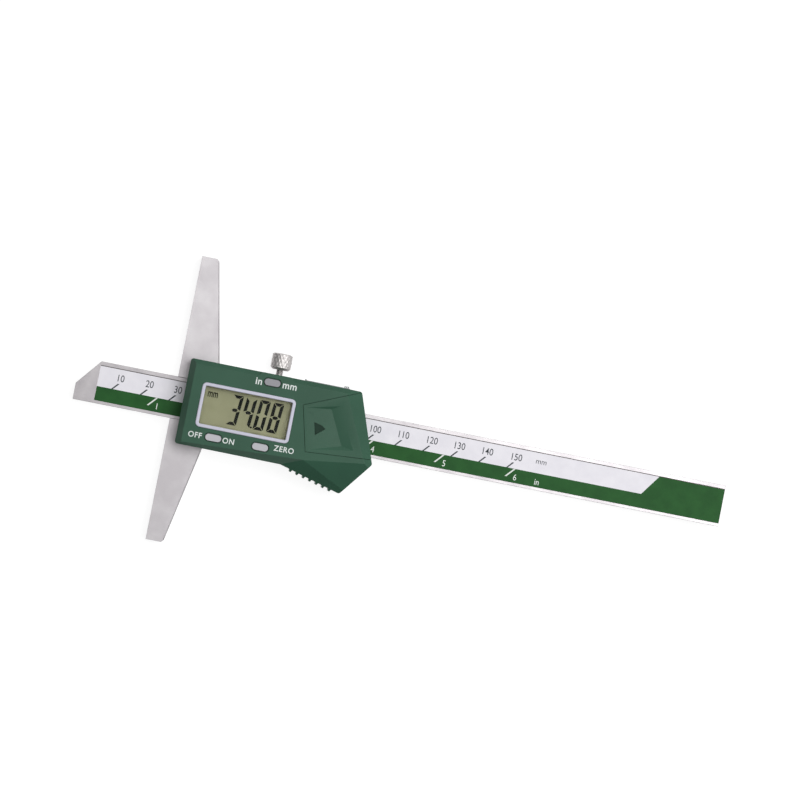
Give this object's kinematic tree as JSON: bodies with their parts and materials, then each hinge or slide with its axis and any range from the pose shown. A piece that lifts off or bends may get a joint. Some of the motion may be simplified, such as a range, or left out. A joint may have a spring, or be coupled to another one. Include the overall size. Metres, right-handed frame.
{
  "type": "digital depth gauge",
  "caption": "Digital depth gauge: a flat beam with a printed scale slides through a steel crossbar base that carries a plastic display housing and a knurled lock screw.",
  "frame": {"origin": "on the base's measuring face, on the beam's centre line, at the back plane that the gauge lies on", "axes": "+X along the beam from the measuring face towards the tail, +Y along the base towards the lock screw, +Z out of the display"},
  "size_m": [0.23, 0.1, 0.0159],
  "materials": {
    "base_steel": "ground",
    "beam_steel": "ground",
    "screw_steel": "turned and plated",
    "gib_bronze": "rolled",
    "housing_plastic": "fine spark texture",
    "label_film": "printed film",
    "grating_board": "bare",
    "bezel_silver": "silver paint",
    "window_clear": "clear",
    "lcd_olive": "polariser film",
    "button_grey": "satin",
    "port_grey": "satin",
    "board_green": "solder mask",
    "resin_black": "cast",
    "part_ceramic": "fired",
    "contact_gold": "gilt",
    "zebra_rubber": "matt",
    "cell_steel": "nickel"
  },
  "bodies": {
    "slider": {"base": "base_steel", "gib_strip": "gib_bronze", "gib_screws": "screw_steel", "circuit_board": "board_green", "board_screws": "screw_steel", "processor": "resin_black", "quartz_can": "cell_steel", "capacitors": "part_ceramic", "button_domes": "contact_gold", "zebra_strips": "zebra_rubber", "lcd_panel": "lcd_olive", "display_window": "window_clear", "display_bezel": "bezel_silver", "data_contacts": "contact_gold", "coin_cell": "cell_steel", "contact_plus": "contact_gold", "contact_minus": "contact_gold", "housing": "housing_plastic", "housing_screws": "screw_steel"},
    "beam": {"beam": "beam_steel", "grating_strip": "grating_board", "scale_label": "label_film", "stop_plate": "beam_steel", "stop_screws": "screw_steel"},
    "lock_screw": {"lock_screw": "screw_steel"},
    "button_inch_mm": {"button_inch_mm": "button_grey"},
    "button_off_on": {"button_off_on": "button_grey"},
    "button_zero": {"button_zero": "button_grey"},
    "battery_cover": {"battery_cover": "housing_plastic"},
    "data_port_cover": {"data_port_cover": "port_grey"}
  },
  "joints": [
    {"name": "beam_slide", "type": "slide", "parent": "slider", "child": "beam", "axis": [-1, 0, 0], "range_m": [-0.03408, 0.11592]},
    {"name": "lock_screw_turn", "type": "hinge", "parent": "slider", "child": "lock_screw", "pos_m": [0.0342, 0.0165, 0.00373], "axis": [0, 1, 0], "range_deg": [-90, 270]},
    {"name": "button_inch_mm_press", "type": "slide", "parent": "slider", "child": "button_inch_mm", "axis": [0, 0, -1], "range_m": [0, 0.0003], "stiffness_N_per_m": 2000},
    {"name": "button_off_on_press", "type": "slide", "parent": "slider", "child": "button_off_on", "axis": [0, 0, -1], "range_m": [0, 0.0003], "stiffness_N_per_m": 2000},
    {"name": "button_zero_press", "type": "slide", "parent": "slider", "child": "button_zero", "axis": [0, 0, -1], "range_m": [0, 0.0003], "stiffness_N_per_m": 2000},
    {"name": "battery_cover_slide", "type": "slide", "parent": "slider", "child": "battery_cover", "axis": [0.972, 0.2351, 0], "range_m": [0, 0.026]},
    {"name": "data_port_cover_slide", "type": "slide", "parent": "slider", "child": "data_port_cover", "axis": [1, 0, 0], "range_m": [0, 0.021]}
  ]
}
